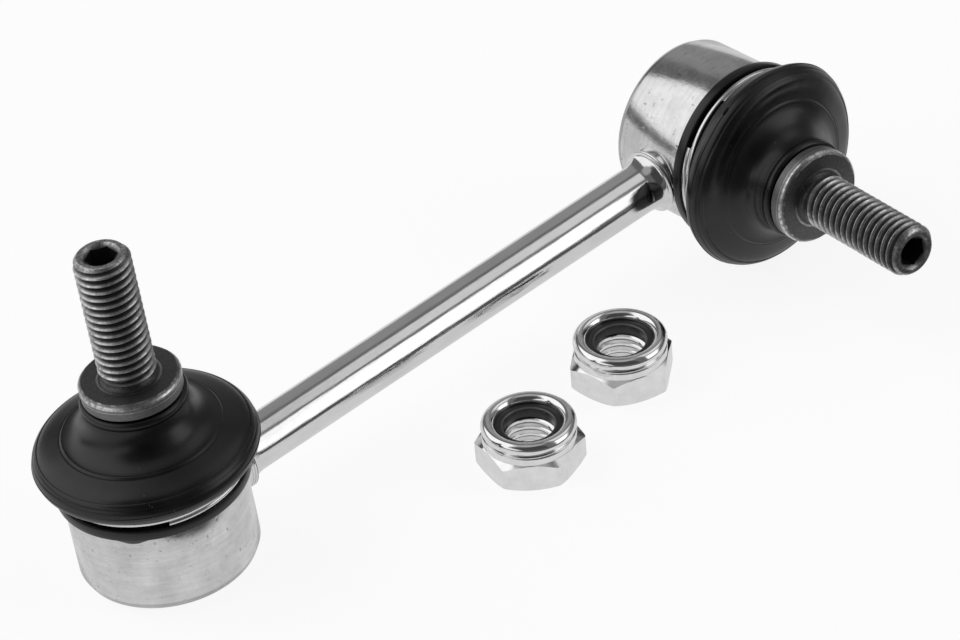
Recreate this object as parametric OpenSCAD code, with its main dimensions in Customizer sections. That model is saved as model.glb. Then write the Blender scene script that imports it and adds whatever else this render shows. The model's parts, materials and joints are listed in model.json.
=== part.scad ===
// Stabilizer link: two ball joints welded to a straight rod, with one stud pointing up and the
// other to the front, and the two self-locking nuts that fasten the studs.
// Lengths are in millimetres and angles in degrees. Each ball joint is drawn about its own ball
// centre with the stud along +Z, and is then carried to its end of the rod.

/* [Link] */
// Distance between the two ball centres
ball_distance = 133; // [100:1:300]
// Diameter of the rod
rod_d = 9.2; // [7:0.1:11]
// How far the weld bead stands out from the rod
weld_rise = 1.4; // [0.8:0.1:1.6]
// Width of the ridged bead in front of the housing
weld_bead = 1.2; // [0.6:0.1:3]
// Radius of the groove between the ridges of the bead
weld_groove = 0.25; // [0.1:0.05:0.4]
// Length of the weld fillet along the rod
weld_length = 3.6; // [2:0.1:8]
// Roll about the rod at which the link comes to rest
rest_roll = -3; // [-9:0.5:0]
// Lean of the right stud towards the left end at rest
right_lean = 3.6; // [0:0.1:8]

/* [Ball stud] */
// Diameter of the ball
ball_d = 16; // [14:0.5:18]
// From the ball centre to the flat under the ball
ball_flat = 7; // [6:0.1:7.5]
// Diameter of the neck above the ball
neck_d = 9.6; // [8.5:0.1:10.5]
// Diameter of the land that the boot seals on
land_d = 13.2; // [12.5:0.1:15]
// Length of the land below the collar
land_length = 6.4; // [5.5:0.1:8]
// From the ball centre to the clamping face of the collar
collar_top = 28.6; // [28:0.1:36]
// Diameter of the collar
collar_d = 17.8; // [16:0.1:22]
// Thickness of the collar
collar_h = 3.2; // [2.2:0.1:5]
// Chamfer on the upper edge of the collar
collar_chamfer = 0.7; // [0.3:0.1:1.2]
// Nominal diameter of the stud thread
thread_d = 10; // [8:1:12]
// Pitch of the thread
thread_pitch = 1.5; // [1:0.25:1.75]
// Depth of the thread
thread_depth = 0.9; // [0.5:0.1:0.9]
// From the clamping face to the end of the stud
stud_length = 25.4; // [18:0.1:40]
// Diameter of the relief between collar and thread
relief_d = 8.6; // [7:0.1:9.5]
// Length of the relief
relief_length = 1.5; // [1.5:0.1:4]
// Chamfer on the end of the stud
stud_chamfer = 1; // [0.5:0.1:1.5]
// Width of the hexagon key that holds the stud
key_width = 5; // [4:1:6]
// Depth of the key socket
key_depth = 5; // [3:0.5:8]
// Depth of the countersink around the key socket
key_sink = 0.5; // [0.3:0.1:0.7]

/* [Housing] */
// Radial running clearance of the ball in its seat
ball_clearance = 0.05; // [0.02:0.01:0.1]
// Wall of the plastic seat at the ball's equator
seat_wall = 3.2; // [2:0.1:4]
// Radial clearance of the seat in the housing
seat_fit = 0.05; // [0.02:0.01:0.1]
// Wall of the housing around the seat
housing_wall = 4.6; // [4:0.05:5]
// Space left between the swung neck and the top of the seat
seat_gap = 0.25; // [0.15:0.05:0.6]
// Radius of the opening in the bottom of the seat
seat_hole = 5; // [4:0.1:6]
// Number of grease slots in the seat
seat_slots = 6; // [4:1:8]
// Width of a grease slot
slot_width = 1.3; // [0.8:0.1:2]
// How deep a grease slot is cut into the seat's wall
slot_depth = 0.7; // [0.4:0.1:1]
// From the ball centre to the upper end of a grease slot
slot_top = 2; // [1:0.1:3]
// From the ball centre to the shoulder under the boot
shoulder = 6; // [5.6:0.1:8]
// Height of the groove that holds the boot's bead
groove_h = 3.3; // [2.5:0.1:5]
// How deep the groove lies inside the housing's outer face
groove_depth = 2.5; // [2.1:0.05:2.6]
// Height of the hook above the groove
hook_h = 1; // [0.6:0.1:2]
// How far the hook stands out over the groove
hook_rise = 0.8; // [0.4:0.1:1.2]
// Space for grease between the swung ball and the cap
grease_gap = 0.2; // [0.1:0.05:0.5]
// Thickness of the closing cap
cap_h = 0.8; // [0.6:0.1:1.5]
// Width of the ledge that the cap rests on
cap_ledge = 1.2; // [0.6:0.1:1.6]
// Bevel on the cap's edge
cap_bevel = 0.4; // [0.2:0.1:0.5]
// Thickness of the lip rolled over the cap
lip_h = 0.9; // [0.3:0.1:1.2]
// How far the lip reaches over the cap's bevel
lip_reach = 0.8; // [0.4:0.1:2]
// How far the chamfer on the housing's lower edge cuts in
housing_chamfer = 0.6; // [0.3:0.1:1.2]
// Height of that chamfer
housing_chamfer_h = 1.3; // [0.4:0.1:2]
// Swing of the stud to each side of its middle, in each of two directions
swing = 18; // [10:1:20]
// Space left between the swung neck and the throat
throat_gap = 1.3; // [1:0.1:1.6]

/* [Boot] */
// Clearance between the rubber and the pieces it seats on
boot_gap = 0.3; // [0.2:0.05:0.4]
// Wall of the boot
boot_wall = 1.6; // [1:0.1:2.2]
// How far the lower flange stands out over the housing
flange_rise = 1.15; // [0.6:0.05:2]
// Height of the lower flange
flange_h = 2.3; // [1.5:0.1:4]
// Rubber left under the clamp ring
flange_wall = 0.9; // [0.6:0.1:1.4]
// Largest diameter of the boot
rim_d = 39.3; // [36:0.1:44]
// Rounding of the boot's rim
rim_round = 2.3; // [1.4:0.1:2.4]
// Rise of the rim's middle over the clamp ring
rim_rise = 2.3; // [2.2:0.1:5]
// Diameter of the mould line on the upper face
mould_d = 27.8; // [26:0.2:29]
// Rise of the mould line over the rim's middle
mould_rise = 4.4; // [3.4:0.1:5]
// Diameter of the lip under the collar
lip_d = 18; // [17.6:0.1:20]
// Height of the straight lip under the collar
lip_band = 1.7; // [1:0.1:3]
// Thickness of the lips that hold the neck ring
lip_wall = 0.6; // [0.4:0.1:0.9]

/* [Rings] */
// Radial thickness of the clamp ring's wire
wire_t = 1.1; // [0.6:0.1:1.6]
// Height of one turn of the clamp ring's wire
wire_h = 1.05; // [0.8:0.05:1.6]
// Radius of the groove between the two turns of the wire
wire_groove = 0.15; // [0.05:0.05:0.3]
// Opening in each turn of the wire
wire_gap = 1.4; // [0.6:0.1:4]
// Angle between the two ends of the wire
wire_step = 35; // [20:1:180]
// Place of the wire's lower end on the left joint
left_wire_turn = 242; // [0:1:360]
// Place of the wire's lower end on the right joint
right_wire_turn = 110; // [0:1:360]
// Radial thickness of the neck ring
neck_ring_t = 1; // [0.6:0.1:1.1]
// Height of the neck ring
neck_ring_h = 3.6; // [2.5:0.1:4]
// Radial running clearance of the neck ring on the stud
neck_ring_clearance = 0.05; // [0.02:0.01:0.1]

/* [Nuts] */
// Width of the nut across its flats
nut_width = 17; // [15:0.5:19]
// How far the chamfer cuts into the nut's flats
nut_chamfer = 0.4; // [0.2:0.1:0.8]
// Height of the hexagon
nut_hex_h = 5.7; // [5:0.1:7]
// Height of the whole nut
nut_h = 9.6; // [9:0.1:12]
// Radius of the rolled bead on the crown
crown_bead = 1.25; // [0.8:0.05:1.4]
// Diameter of the crown over its bead
crown_d = 16.9; // [15.4:0.1:17]
// Diameter of the ring under the bead
crown_ring_d = 16.7; // [15.4:0.1:16.9]
// Height of that ring over the hexagon
crown_ring_h = 1.3; // [0.4:0.1:1.6]
// Diameter of the tapped hole before the thread
tap_d = 8.5; // [6.8:0.1:10.2]
// Inner diameter of the locking insert
insert_d = 9; // [8.5:0.1:10]
// Height of the locking insert
insert_h = 2.2; // [1.5:0.1:2.4]
// Radial seat of the insert inside the bead
insert_seat = 0.5; // [0.3:0.1:0.8]
// Near nut: distance along the rod and to the front, and turn
near_nut_place = [60.7, -26.8, 19]; // [-200:1:200]
// Far nut: distance along the rod and to the front, and turn
far_nut_place = [88.1, -20.9, 39]; // [-200:1:200]

/* [Hidden] */
$fn = 96;

ball_r = ball_d / 2;
seat_inner = ball_r + ball_clearance;
seat_outer = seat_inner + seat_wall;
housing_bore = seat_outer + seat_fit;
housing_r = housing_bore + housing_wall;

// Heights over the ball centre, from the cap up to the end of the stud
cap_top = -ball_r - grease_gap;
cap_bottom = cap_top - cap_h;
housing_bottom = cap_bottom - lip_h;
groove_top = shoulder + groove_h;
housing_top = groove_top + hook_h;
collar_bottom = collar_top - collar_h;
stud_end = collar_top + stud_length;
cap_r = housing_bore + cap_ledge;
lip_inner = cap_r - cap_bevel - lip_reach;

// Largest swing of the neck, with both directions at their limits
corner_swing = acos(pow(cos(swing), 2));
function throat(z) = z * tan(corner_swing) + neck_d / 2 / cos(corner_swing) + throat_gap;

// Top of the seat, just under the place where the swung neck leaves the ball
neck_angle = asin(neck_d / ball_d);
seat_top = ball_r * cos(neck_angle + corner_swing) - seat_gap;

// Boot, from its flange up to its lip
groove_r = housing_r - groove_depth;
hook_r = groove_r + hook_rise;
flange_bottom = shoulder + boot_gap;
flange_top = flange_bottom + flange_h;
flange_r = housing_r + flange_rise;
boot_hook_r = hook_r + boot_gap;
ring_seat_r = boot_hook_r + flange_wall;
ring_inner = ring_seat_r + boot_gap;
ring_bottom = flange_top + boot_gap / 3;
ring_top = ring_bottom + 2 * wire_h;
boot_waist = ring_top + boot_gap / 3;
rim_z = boot_waist + rim_rise;
rim_centre = rim_d / 2 - rim_round;
mould_r = mould_d / 2;
mould_z = rim_z + mould_rise;
lip_r = lip_d / 2;
lip_top = collar_bottom - boot_gap;
flare_z = lip_top - lip_band;
flare_r = (pow(mould_r - lip_r, 2) + pow(flare_z - mould_z, 2)) / (2 * (mould_r - lip_r));
neck_ring_inner = land_d / 2 + neck_ring_clearance;
neck_ring_outer = neck_ring_inner + neck_ring_t;
neck_ring_top = lip_top - lip_wall - boot_gap;
neck_ring_bottom = neck_ring_top - neck_ring_h;

// Rest: the link lies on the edge of the left housing and on the rim of the right boot.
// The tilt that brings both down to one floor is found by repeating the balance of their heights.
function left_drop(tilt) =
    -housing_bottom * cos(tilt) * cos(rest_roll)
    + (housing_r - housing_chamfer) * sqrt(1 - pow(cos(tilt) * cos(rest_roll), 2));
function right_drop(tilt) =
    rim_z * cos(tilt) * sin(rest_roll)
    + rim_centre * sqrt(1 - pow(cos(tilt) * sin(rest_roll), 2)) + rim_round;
function settle(tilt, rounds) =
    rounds == 0 ? tilt
    : settle(asin((right_drop(tilt) - left_drop(tilt)) / ball_distance), rounds - 1);
rest_tilt = settle(0, 12);

// Directions of the link after its roll and its tilt
function rolled(v) = [
    v[0],
    v[1] * cos(rest_roll) - v[2] * sin(rest_roll),
    v[1] * sin(rest_roll) + v[2] * cos(rest_roll)
];
function tilted(v) = [
    v[0] * cos(rest_tilt) - v[2] * sin(rest_tilt),
    v[1],
    v[0] * sin(rest_tilt) + v[2] * cos(rest_tilt)
];
function rested(v) = tilted(rolled(v));
left_axis = rested([0, 0, 1]);
right_axis = rested([0, -1, 0]);
right_stud_axis = rested([-sin(right_lean), -cos(right_lean), 0]);

// Middle of the box around the link, from the reach of its outermost rounds
function reach(axis, side) = rim_centre * sqrt(1 - pow(axis[side], 2)) + rim_round;
stud_face_r = thread_d / 2 - stud_chamfer;
low_x = rim_z * left_axis[0] - reach(left_axis, 0);
high_x = rested([ball_distance, 0, 0])[0] + rim_z * right_axis[0] + reach(right_axis, 0);
low_y = stud_end * right_stud_axis[1] - stud_face_r * sqrt(1 - pow(right_stud_axis[1], 2));
high_y = rim_z * left_axis[1] + reach(left_axis, 1);
middle = [(low_x + high_x) / 2, (low_y + high_y) / 2, -left_drop(rest_tilt)];

// Nut, from its pocket up to its crown
crown_r = crown_d / 2;
bead_r = crown_r - crown_bead;
bead_z = nut_h - crown_bead;
insert_r = bead_r - crown_bead + insert_seat;
insert_bottom = bead_z - insert_h;
nut_corner = nut_width / 2 / cos(30);
nut_chamfer_r = nut_width / 2 - nut_chamfer;

// Piece to draw, or all of them

// The link as it lies at rest on the floor, centred over the origin
module at_rest() {
    translate(-middle)
        rotate([0, -rest_tilt, 0])
            rotate([rest_roll, 0, 0])
                children();
}

// The left joint stands at the start of the rod, with its stud up
module left_end() {
    at_rest()
        children();
}

// The right joint stands at the end of the rod, with its stud to the front
module right_end() {
    at_rest()
        translate([ball_distance, 0, 0])
            rotate([90, 0, 0])
                children();
}

// A nut lies flat on the floor at its own place beside the rod
module on_floor(place) {
    translate([place[0] - middle[0], place[1] - middle[1], 0])
        rotate([0, 0, place[2]])
            children();
}

// Housing: a turned ring with a throat for the stud, a groove for the boot and a lip rolled
// over the cap
module housing() {
    color("silver")
        rotate_extrude()
            polygon([
                [lip_inner, housing_bottom],
                [housing_r - housing_chamfer, housing_bottom],
                [housing_r, housing_bottom + housing_chamfer_h],
                [housing_r, shoulder],
                [groove_r, shoulder],
                [groove_r, groove_top],
                [hook_r, groove_top],
                [hook_r, housing_top],
                [throat(housing_top), housing_top],
                [throat(seat_top), seat_top],
                [housing_bore, seat_top],
                [housing_bore, cap_top],
                [cap_r, cap_top],
                [cap_r, cap_bottom + cap_bevel],
                [cap_r - cap_bevel, cap_bottom],
                [lip_inner, cap_bottom]
            ]);
}

// Closing cap: a disc with a bevelled edge under the rolled lip
module end_cap() {
    color("lightgray")
        rotate_extrude()
            polygon([
                [0, cap_bottom],
                [cap_r - cap_bevel, cap_bottom],
                [cap_r, cap_bottom + cap_bevel],
                [cap_r, cap_top],
                [0, cap_top]
            ]);
}

// Ball seat: a plastic sleeve with a spherical bore and grease slots
module ball_seat() {
    color("ivory")
        difference() {
            translate([0, 0, cap_top])
                cylinder(r = seat_outer, h = seat_top - cap_top);
            sphere(r = seat_inner);
            translate([0, 0, cap_top - seat_hole])
                cylinder(r = seat_hole, h = -cap_top + seat_hole);
            for (slot = [0 : seat_slots - 1])
                rotate([0, 0, slot * 360 / seat_slots])
                    translate([seat_inner - slot_depth, -slot_width / 2, cap_top - slot_depth])
                        cube([2 * slot_depth, slot_width, slot_top - cap_top + slot_depth]);
        }
}

// Ball stud: ball, neck, land, collar, relief and threaded shank in one turned piece
module ball_stud() {
    color("dimgray")
        difference() {
            union() {
                intersection() {
                    sphere(r = ball_r);
                    translate([0, 0, -ball_flat])
                        cylinder(r = ball_d, h = ball_d);
                }
                rotate_extrude()
                    stud_outline();
            }
            translate([0, 0, stud_end - key_depth])
                cylinder(d = key_width / cos(30), h = key_depth + 1, $fn = 6);
            translate([0, 0, stud_end - key_sink])
                cylinder(d1 = key_width, d2 = key_width + 4 * key_sink, h = 2 * key_sink);
        }
}

// Half outline of the stud from inside the ball to its end
module stud_outline() {
    land_bottom = collar_bottom - land_length;
    taper = (land_d - neck_d) / 2;
    difference() {
        polygon([
            [0, 0],
            [neck_d / 2, 0],
            [neck_d / 2, land_bottom - 2 * taper],
            [land_d / 2, land_bottom],
            [land_d / 2, collar_bottom],
            [collar_d / 2, collar_bottom],
            [collar_d / 2, collar_top - collar_chamfer],
            [collar_d / 2 - collar_chamfer, collar_top],
            [thread_d / 2, collar_top],
            [thread_d / 2, stud_end - stud_chamfer],
            [thread_d / 2 - stud_chamfer, stud_end],
            [0, stud_end]
        ]);
        relief();
        thread_grooves();
    }
}

// Grooves of the thread, turned side by side at its pitch instead of in one helix
module thread_grooves() {
    start = collar_top + relief_length;
    grooves = floor((stud_length - relief_length) / thread_pitch);
    half_mouth = thread_pitch * 7 / 16;
    half_root = half_mouth - thread_depth * tan(30);
    spare = thread_depth / 4;
    for (groove = [0 : grooves - 1])
        translate([thread_d / 2, start + (groove + 0.75) * thread_pitch])
            polygon([
                [spare, -half_mouth - spare * tan(30)],
                [spare, half_mouth + spare * tan(30)],
                [-thread_depth, half_root],
                [-thread_depth, -half_root]
            ]);
}

// Relief above the collar, rounded into the clamping face
module relief() {
    depth = (thread_d - relief_d) / 2;
    translate([relief_d / 2, collar_top + depth])
        square([2 * depth, relief_length - 2 * depth]);
    translate([relief_d / 2 + depth, collar_top + depth])
        circle(r = depth);
    translate([relief_d / 2 + depth, collar_top + relief_length - depth])
        circle(r = depth);
}

// Boot: a rubber bell from the clamped flange over the rim and the flare to the lip on the stud.
// The bell stays with the housing, and the neck follows the lean of the stud.
module boot(lean) {
    color([0.12, 0.12, 0.13])
        difference() {
            union() {
                rotate_extrude()
                    difference() {
                        boot_outline();
                        boot_hollow();
                    }
                leaning(lean)
                    rotate_extrude()
                        boot_neck();
            }
            leaning(lean)
                rotate_extrude()
                    neck_hollow();
        }
}

// What follows the stud leans about the ball centre
module leaning(lean) {
    rotate([0, -lean, 0])
        children();
}

// Outer half outline of the boot, with a round rim and a hollow flare
module boot_outline() {
    difference() {
        polygon([
            [0, flange_bottom],
            [flange_r, flange_bottom],
            [flange_r, flange_top],
            [ring_seat_r, flange_top],
            [ring_seat_r, boot_waist],
            [rim_centre - rim_round / 2, boot_waist],
            [rim_centre, rim_z],
            [rim_centre + rim_round * sin(30), rim_z + rim_round * cos(30)],
            [mould_r, mould_z],
            [lip_r, flare_z],
            [0, flare_z]
        ]);
        translate([lip_r + flare_r, flare_z])
            circle(r = flare_r);
    }
    translate([rim_centre, rim_z])
        circle(r = rim_round);
}

// Straight neck of the boot around the neck ring
module boot_neck() {
    neck_bottom = neck_ring_bottom - boot_gap - lip_wall;
    inner = land_d / 2 + boot_gap;
    translate([inner, neck_bottom])
        square([lip_r - inner, lip_top - neck_bottom]);
}

// Hollow of the bell, around the housing's hook and the swinging neck
module boot_hollow() {
    neck_bottom = neck_ring_bottom - boot_gap - lip_wall;
    difference() {
        polygon([
            [0, 0],
            [groove_r + boot_gap, 0],
            [groove_r + boot_gap, groove_top - boot_gap],
            [boot_hook_r, groove_top - boot_gap],
            [boot_hook_r, boot_waist],
            [rim_centre, rim_z],
            [mould_r, mould_z - boot_wall],
            [lip_r - boot_wall / 2, neck_bottom],
            [0, neck_bottom]
        ]);
        translate([lip_r + flare_r, flare_z])
            circle(r = flare_r + boot_wall);
    }
}

// Hollow of the neck, around the neck ring and the stud's land
module neck_hollow() {
    translate([0, neck_ring_bottom - boot_gap])
        square([neck_ring_outer + boot_gap, neck_ring_h + 2 * boot_gap]);
    square([land_d / 2 + boot_gap, lip_top + 1]);
}

// Clamp ring: two turns of flat wire, each open at one end of the wire
module clamp_ring(turn) {
    color("gainsboro")
        difference() {
            rotate_extrude()
                wire_outline();
            for (level = [0, 1])
                rotate([0, 0, turn + level * wire_step])
                    translate([ring_inner / 2, -wire_gap / 2, ring_bottom + (2 * level - 1) * wire_h])
                        cube([ring_inner, wire_gap, 2 * wire_h]);
        }
}

// Section of both turns, with a groove where they meet
module wire_outline() {
    difference() {
        translate([ring_inner, ring_bottom])
            square([wire_t, 2 * wire_h]);
        translate([ring_inner + wire_t, ring_bottom + wire_h])
            circle(r = wire_groove);
    }
}

// Neck ring: a flat band that turns on the stud's land inside the boot's lips
module neck_ring() {
    color("darkgray")
        rotate_extrude()
            translate([neck_ring_inner, neck_ring_bottom])
                square([neck_ring_t, neck_ring_h]);
}

// Rod: a straight bar, saddled to the round wall of both housings
module link_rod() {
    color("silver")
        at_rest()
            difference() {
                rotate([0, 90, 0])
                    cylinder(d = rod_d, h = ball_distance);
                housing_wall_round();
                translate([ball_distance, 0, 0])
                    rotate([90, 0, 0])
                        housing_wall_round();
            }
}

// Outer round of a housing, as long as it needs to be to cut a rod end
module housing_wall_round() {
    translate([0, 0, -ball_distance / 2])
        cylinder(r = housing_r, h = ball_distance);
}

// Weld: a ridged bead against the housing that runs out along the rod in a hollow fillet
module weld() {
    color("gray")
        difference() {
            rotate([0, 90, 0])
                rotate_extrude()
                    weld_outline();
            housing_wall_round();
        }
}

// Half outline of the weld around the rod
module weld_outline() {
    bead_end = housing_r + weld_bead;
    weld_r = rod_d / 2 + weld_rise;
    difference() {
        translate([rod_d / 2, housing_r / 2])
            square([weld_rise, bead_end + weld_length - housing_r / 2]);
        translate([weld_r, bead_end + weld_length])
            scale([weld_rise / weld_length, 1])
                circle(r = weld_length);
        for (ridge = [0, 1])
            translate([weld_r, housing_r + (ridge - 0.5) * weld_bead])
                circle(r = weld_groove);
    }
}

// Nut: a chamfered hexagon with a round crown rolled over the insert
module nut() {
    color("gainsboro")
        difference() {
            union() {
                intersection() {
                    cylinder(r = nut_corner, h = nut_hex_h, $fn = 6);
                    rotate_extrude()
                        nut_chamfers();
                }
                rotate_extrude()
                    crown();
            }
            translate([0, 0, -1])
                cylinder(d = tap_d, h = nut_h + 2);
            translate([0, 0, insert_bottom])
                cylinder(r = insert_r, h = insert_h);
            translate([0, 0, bead_z])
                cylinder(r = bead_r - crown_bead, h = nut_h);
        }
}

// Half outline that cuts the corners of the hexagon
module nut_chamfers() {
    drop = (nut_corner - nut_chamfer_r) * tan(30);
    polygon([
        [0, 0],
        [nut_chamfer_r, 0],
        [nut_corner, drop],
        [nut_corner, nut_hex_h - drop],
        [nut_chamfer_r, nut_hex_h],
        [0, nut_hex_h]
    ]);
}

// Half outline of the crown: a ring on the hexagon, a waist and the rolled bead
module crown() {
    inner = tap_d / 4;
    base = nut_hex_h / 2;
    translate([inner, base])
        square([crown_ring_d / 2 - inner, nut_hex_h + crown_ring_h - base]);
    translate([inner, base])
        square([bead_r - inner, bead_z - base]);
    translate([bead_r, bead_z])
        circle(r = crown_bead);
}

// Insert: a plain locking ring held under the bead of the crown
module insert() {
    color([0.15, 0.15, 0.16])
        difference() {
            translate([0, 0, insert_bottom])
                cylinder(r = insert_r, h = insert_h);
            translate([0, 0, insert_bottom - 1])
                cylinder(d = insert_d, h = insert_h + 2);
            rotate_extrude()
                translate([bead_r, bead_z])
                    circle(r = crown_bead);
        }
}

link_rod();
left_end() weld();  // left_weld
right_end() mirror([1, 0, 0]) weld();  // right_weld
left_end() housing();  // left_housing
left_end() end_cap();  // left_end_cap
left_end() ball_seat();  // left_ball_seat
left_end() ball_stud();  // left_ball_stud
left_end() boot(0);  // left_boot
left_end() clamp_ring(left_wire_turn);  // left_clamp_ring
left_end() neck_ring();  // left_neck_ring
right_end() housing();  // right_housing
right_end() end_cap();  // right_end_cap
right_end() ball_seat();  // right_ball_seat
right_end() leaning(right_lean) ball_stud();  // right_ball_stud
right_end() boot(right_lean);  // right_boot
right_end() clamp_ring(right_wire_turn);  // right_clamp_ring
right_end() leaning(right_lean) neck_ring();  // right_neck_ring
on_floor(near_nut_place) nut();  // near_nut
on_floor(near_nut_place) insert();  // near_nut_insert
on_floor(far_nut_place) nut();  // far_nut
on_floor(far_nut_place) insert();  // far_nut_insert
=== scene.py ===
# %% [markdown]
# # A stabilizer link
# The link is a plated rod with a ball joint at each end. A black rubber boot seals each joint, and a threaded stud
# comes out of it. Two lock nuts lie beside the rod.
# The imported model gives every place and every axis, so it is loaded first and stays as it is.

# %% Load the imported model
import json
import math

import bpy
from mathutils import Matrix, Vector


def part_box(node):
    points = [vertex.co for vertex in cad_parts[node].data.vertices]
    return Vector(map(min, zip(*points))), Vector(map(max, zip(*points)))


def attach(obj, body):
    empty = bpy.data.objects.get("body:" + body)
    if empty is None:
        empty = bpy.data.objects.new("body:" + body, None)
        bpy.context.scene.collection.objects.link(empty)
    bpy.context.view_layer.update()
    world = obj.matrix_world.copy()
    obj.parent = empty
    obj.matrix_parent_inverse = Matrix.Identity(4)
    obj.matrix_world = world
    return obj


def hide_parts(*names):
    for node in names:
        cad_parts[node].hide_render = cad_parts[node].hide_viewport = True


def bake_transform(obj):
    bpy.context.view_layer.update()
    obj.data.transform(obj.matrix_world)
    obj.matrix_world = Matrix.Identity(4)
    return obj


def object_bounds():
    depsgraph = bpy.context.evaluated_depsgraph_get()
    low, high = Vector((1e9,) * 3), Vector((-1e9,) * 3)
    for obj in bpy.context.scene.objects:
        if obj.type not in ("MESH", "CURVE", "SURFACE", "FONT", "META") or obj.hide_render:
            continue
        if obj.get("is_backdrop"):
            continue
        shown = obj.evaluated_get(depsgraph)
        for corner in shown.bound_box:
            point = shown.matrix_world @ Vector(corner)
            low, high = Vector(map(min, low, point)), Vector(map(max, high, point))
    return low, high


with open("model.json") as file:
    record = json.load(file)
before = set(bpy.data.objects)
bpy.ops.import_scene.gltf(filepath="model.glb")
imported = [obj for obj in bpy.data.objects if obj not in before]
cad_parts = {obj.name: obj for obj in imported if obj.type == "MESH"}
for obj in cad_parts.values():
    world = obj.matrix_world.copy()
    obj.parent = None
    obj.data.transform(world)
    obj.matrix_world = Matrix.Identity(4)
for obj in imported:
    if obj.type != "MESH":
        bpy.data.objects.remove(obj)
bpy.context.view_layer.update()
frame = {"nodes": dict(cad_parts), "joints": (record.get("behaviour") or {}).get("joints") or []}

scene = bpy.context.scene
scene.view_settings.view_transform = "Standard"

# %% [markdown]
# ## Camera
# The photograph was taken with a long lens from the front left, looking down by about 37 degrees. The camera's place
# and lens were worked out from the thread, the nuts and the ends of the rod. A camera in Blender looks along its own
# -Z axis, so its turn is written as three directions: right, up and back.

# %% Camera
camera_right = Vector((0.7411792, -0.6677761, -0.0687639))
camera_up = Vector((0.4433505, 0.4100055, 0.7970796))
camera_back = Vector((-0.5040770, -0.6212653, 0.5999464))
camera_turn = Matrix((camera_right, camera_up, camera_back)).transposed()
camera_place = Vector((-0.461499, -0.561277, 0.568319))
LENS = 195.98
SENSOR = 36
bpy.ops.object.camera_add(location=camera_place, rotation=camera_turn.to_euler())
camera = bpy.context.object
camera.data.sensor_width = SENSOR
camera.data.lens = LENS
scene.camera = camera
print("lens in mm:", round(camera.data.lens, 1))

# %% [markdown]
# ## Studio light
# Plated metal has hardly any colour of its own: it shows the room. The rod shows a studio with a long white box in
# front on the right, a paler ceiling, a grey back and dark gaps between them. The right cup shows a second box at the
# back on the left, and black rubber shows that the room on the camera's side is dark. Lamps could be set up for each,
# but the world's background can hold the whole room: bands around the rod's direction, one set for each half, and a
# few patches over them at the ends and on the ceiling. The camera itself sees plain white.

# %% Helpers that add nodes and join their inputs
def add_node(tree, kind, inputs=None, **settings):
    made = tree.nodes.new(kind)
    for key, value in settings.items():
        setattr(made, key, value)
    for key, value in (inputs or {}).items():
        if isinstance(value, bpy.types.Node):
            value = value.outputs[0]
        if isinstance(value, bpy.types.NodeSocket):
            tree.links.new(value, made.inputs[key])
        else:
            made.inputs[key].default_value = value
    return made


def calc(tree, operation, a, b=0.0):
    return add_node(tree, "ShaderNodeMath", {0: a, 1: b}, operation=operation)


def add_ramp(tree, factor, stops):
    """Grey levels between places from 0 to 1."""
    ramp = add_node(tree, "ShaderNodeValToRGB", {0: factor})
    steps = ramp.color_ramp.elements
    while len(steps) < len(stops):
        steps.new(0.5)
    for step, (place, grey) in zip(steps, stops):
        step.position = place
        step.color = (grey, grey, grey, 1)
    return ramp


print("node helpers:", add_node.__name__, calc.__name__, add_ramp.__name__)

# %% Room and its bands
studio = bpy.data.worlds.new("studio")
scene.world = studio
studio.use_nodes = True
room = studio.node_tree
room.nodes.clear()
look = add_node(room, "ShaderNodeTexCoord")
axes = add_node(room, "ShaderNodeSeparateXYZ", {0: look.outputs["Generated"]})
to_front = calc(room, "MULTIPLY", axes.outputs["Y"], -1.0)
round_rod = calc(room, "ARCTAN2", axes.outputs["Z"], to_front)
share = add_node(room, "ShaderNodeMath", {0: round_rod, 1: 1 / (2 * math.pi), 2: 0.5}, operation="MULTIPLY_ADD")
LIGHT = 1.4
right_bands = [  # angle from the front over the top to the back, and the brightness there
    (-180, 0.29), (-150, 0.5), (-90, 0.7), (-30, 0.6), (-14, 0.2), (1, 0.2), (3, 1.38), (54, 1.38),
    (58, 0.2), (66, 0.2), (70, 0.75), (103, 0.75), (107, 0.17), (118, 0.17), (122, 0.29), (180, 0.29),
]
left_bands = [
    (-180, 0.8), (-90, 0.8), (-20, 0.5), (-4, 0.2), (10, 0.06), (72, 0.06), (90, 0.14), (100, 1.1), (180, 1.1),
]


def half_room(bands):
    return add_ramp(room, share, [(0.5 + angle / 360, level / LIGHT) for angle, level in bands])


def fade(axis, start, stop):
    return add_node(room, "ShaderNodeMapRange", {0: axes.outputs[axis], 1: start, 2: stop})


dark_gap = (0.1, 0.1, 0.1, 1)
left_half = add_node(room, "ShaderNodeMixRGB", {0: fade("X", 0.03, -0.03), 1: dark_gap, 2: half_room(left_bands)})
both_halves = add_node(room, "ShaderNodeMixRGB", {0: fade("X", 0.31, 0.38), 1: left_half, 2: half_room(right_bands)})
print("bands in the studio:", len(right_bands) + len(left_bands))

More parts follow.
